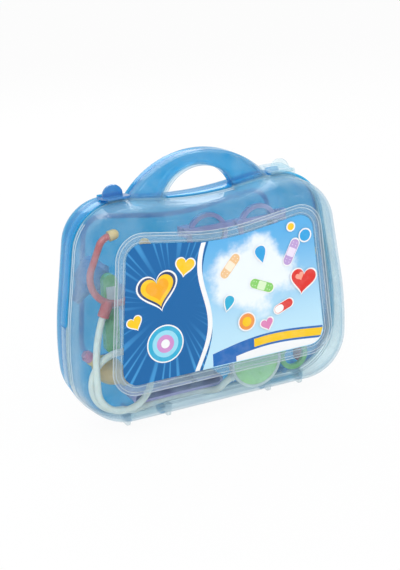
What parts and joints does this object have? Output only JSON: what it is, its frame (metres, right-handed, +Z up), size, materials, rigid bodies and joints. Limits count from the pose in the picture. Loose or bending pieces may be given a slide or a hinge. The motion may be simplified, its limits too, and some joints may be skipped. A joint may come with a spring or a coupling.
{
  "type": "toy doctor case",
  "caption": "clam-shell carrying case with moulded handle halves, snap hinges and snap latches, holding a set of play doctor tools seen through the clear front shell",
  "frame": {"origin": "centre of the bounding box's footprint, at the lowest points of the hinge plates, where the case stands", "axes": "+X to the right seen from the label's side, -Y towards the viewer of the label, +Z up; the seam of the two shells is the plane Y = 0"},
  "size_m": [0.2666, 0.0894, 0.236],
  "materials": {
    "shell_blue": "translucent moulded azure plastic, glossy",
    "shell_clear": "clear frosted moulded plastic, glossy",
    "card": "printed card, semi matt",
    "coral": "moulded coral plastic",
    "soft_cream": "soft cream rubber",
    "tube_white": "off-white flexible tube",
    "white": "white moulded plastic",
    "lilac": "lilac moulded plastic",
    "pink": "pink moulded plastic",
    "yellow": "yellow moulded plastic",
    "yellow_clear": "translucent yellow plastic",
    "green": "green moulded plastic",
    "blue": "blue moulded plastic",
    "lens": "thin clear plastic lens"
  },
  "bodies": {
    "rear_case": {"rear_shell": "shell_blue", "headset": "coral", "ear_tip_left": "soft_cream", "ear_tip_right": "soft_cream", "listening_tube": "tube_white", "chest_disc": "white", "chest_membrane": "coral", "arm_cuff": "lilac", "gauge_case": "white", "gauge_face": "yellow", "cuff_tube": "tube_white", "pump_bulb": "soft_cream", "syringe_barrel": "yellow_clear", "thermometer": "green", "thermometer_window": "white", "scope_body": "blue", "scope_cone": "blue", "hammer_handle": "coral", "hammer_head": "yellow", "scissors_lower": "green", "scissors_pin": "white", "spectacle_frame": "lilac", "spectacle_lenses": "lens", "kidney_dish": "blue"},
    "front_case": {"front_shell": "shell_clear", "label_card": "card"},
    "rear_latch": {"rear_latch": "shell_blue"},
    "front_latch": {"front_latch": "shell_clear"},
    "plunger": {"syringe_plunger": "coral", "syringe_seal": "soft_cream"},
    "needle": {"gauge_needle": "coral"},
    "upper_blade": {"scissors_upper": "green"},
    "temple_left": {"temple_left": "lilac"},
    "temple_right": {"temple_right": "lilac"},
    "valve": {"pump_valve": "pink"}
  },
  "joints": [
    {"name": "lid", "type": "hinge", "parent": "rear_case", "child": "front_case", "pos_m": [0, 0, 0.005], "axis": [1, 0, 0], "range_deg": [0, 180]},
    {"name": "rear_latch_turn", "type": "hinge", "parent": "rear_case", "child": "rear_latch", "pos_m": [-0.0795, 0.0036, 0.206], "axis": [-1, 0, 0], "range_deg": [-6, 60]},
    {"name": "front_latch_turn", "type": "hinge", "parent": "front_case", "child": "front_latch", "pos_m": [0.0795, -0.009, 0.206], "axis": [1, 0, 0], "range_deg": [-4, 60]},
    {"name": "plunger_slide", "type": "slide", "parent": "rear_case", "child": "plunger", "axis": [1, 0, 0], "range_m": [0, 0.042]},
    {"name": "needle_turn", "type": "hinge", "parent": "rear_case", "child": "needle", "pos_m": [-0.046, -0.0121, 0.0502], "axis": [0, 1, 0], "range_deg": [-120, 120]},
    {"name": "scissors_turn", "type": "hinge", "parent": "rear_case", "child": "upper_blade", "pos_m": [0.038, -0.0061, 0.054], "axis": [0, -1, 0], "range_deg": [0, 20]},
    {"name": "temple_left_turn", "type": "hinge", "parent": "rear_case", "child": "temple_left", "pos_m": [-0.0045, 0.0188, 0.1581], "axis": [0, 0, -1], "range_deg": [0, 80]},
    {"name": "temple_right_turn", "type": "hinge", "parent": "rear_case", "child": "temple_right", "pos_m": [0.0945, 0.0188, 0.1581], "axis": [0, 0, 1], "range_deg": [0, 80]},
    {"name": "valve_turn", "type": "hinge", "parent": "rear_case", "child": "valve", "pos_m": [-0.095, -0.002, 0.054], "axis": [0.7431, 0, -0.6691], "range_deg": [-180, 180]}
  ]
}
